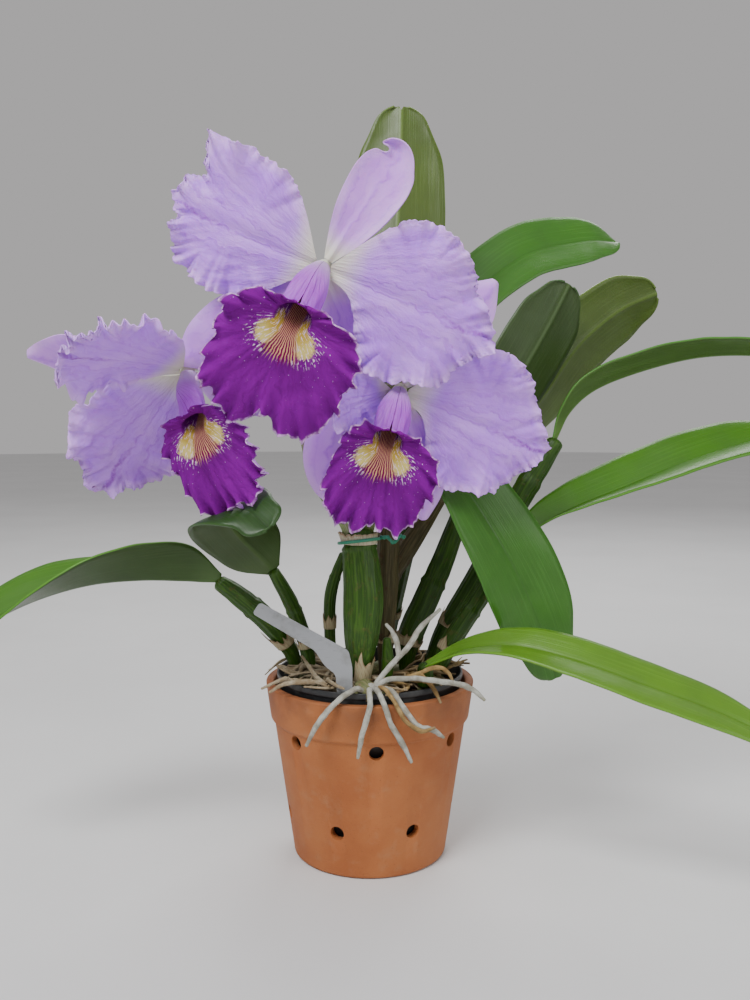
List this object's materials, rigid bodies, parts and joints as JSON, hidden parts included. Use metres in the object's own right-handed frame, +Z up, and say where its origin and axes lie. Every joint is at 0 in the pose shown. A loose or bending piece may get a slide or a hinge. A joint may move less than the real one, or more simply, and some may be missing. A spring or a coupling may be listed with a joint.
{
  "type": "potted orchid",
  "caption": "Flowering cattleya orchid with frilled lavender and purple blooms, strap leaves, swollen stems and loose roots, in bark in a vented clay pot.",
  "frame": {"origin": "centre of the clay pot's flat base, on the surface it stands on", "axes": "+Z up, along the pot's axis; -Y is the side that the flowers face; +X is to the right as seen from that side"},
  "size_m": [0.4926, 0.2059, 0.4272],
  "materials": {
    "terracotta": "matt fired clay",
    "dark_plastic": "satin",
    "bark": "rough",
    "rhizome": "rough",
    "bulb": "waxy",
    "leaf": "waxy satin",
    "sepal": "soft, velvety",
    "petal": "soft, velvety",
    "lip": "soft, velvety",
    "column": "soft, waxy",
    "stalk": "waxy",
    "tie_plastic": "satin",
    "sheath": "dry, papery",
    "label_plastic": "satin",
    "live_root": "matt, velvety",
    "dry_root": "dry, matt"
  },
  "bodies": {
    "root": {"clay_pot": "terracotta", "inner_pot": "dark_plastic", "bark_medium": "bark", "rhizome": "rhizome", "flower_stalk": "stalk", "wire_tie": "tie_plastic", "bulb_sheath": "sheath", "plant_label": "label_plastic", "white_roots": "live_root", "dry_roots_left": "dry_root", "dry_roots_right": "dry_root", "bulb_lead": "bulb", "bulb_thin": "bulb", "bulb_stalk": "bulb", "bulb_middle": "bulb", "bulb_arching": "bulb", "bulb_right": "bulb", "bulb_stub": "bulb", "bulb_left_low": "bulb", "bulb_left_high": "bulb", "bulb_back_tall": "bulb", "bulb_back": "bulb", "new_shoot": "bulb", "leaf_upright": "leaf", "leaf_upper_right": "leaf", "leaf_olive": "leaf", "leaf_shaded": "leaf", "leaf_arching": "leaf", "leaf_right": "leaf", "leaf_drooping": "leaf", "leaf_low_right": "leaf", "leaf_low_left": "leaf", "leaf_curled_left": "leaf", "top_flower_dorsal_sepal": "sepal", "top_flower_sepal_left": "sepal", "top_flower_sepal_right": "sepal", "top_flower_petal_left": "petal", "top_flower_petal_right": "petal", "top_flower_lip": "lip", "top_flower_column": "column", "right_flower_dorsal_sepal": "sepal", "right_flower_sepal_left": "sepal", "right_flower_sepal_right": "sepal", "right_flower_petal_left": "petal", "right_flower_petal_right": "petal", "right_flower_lip": "lip", "right_flower_column": "column", "left_flower_dorsal_sepal": "sepal", "left_flower_sepal_left": "sepal", "left_flower_sepal_right": "sepal", "left_flower_petal_left": "petal", "left_flower_petal_right": "petal", "left_flower_lip": "lip", "left_flower_column": "column"}
  },
  "joints": []
}
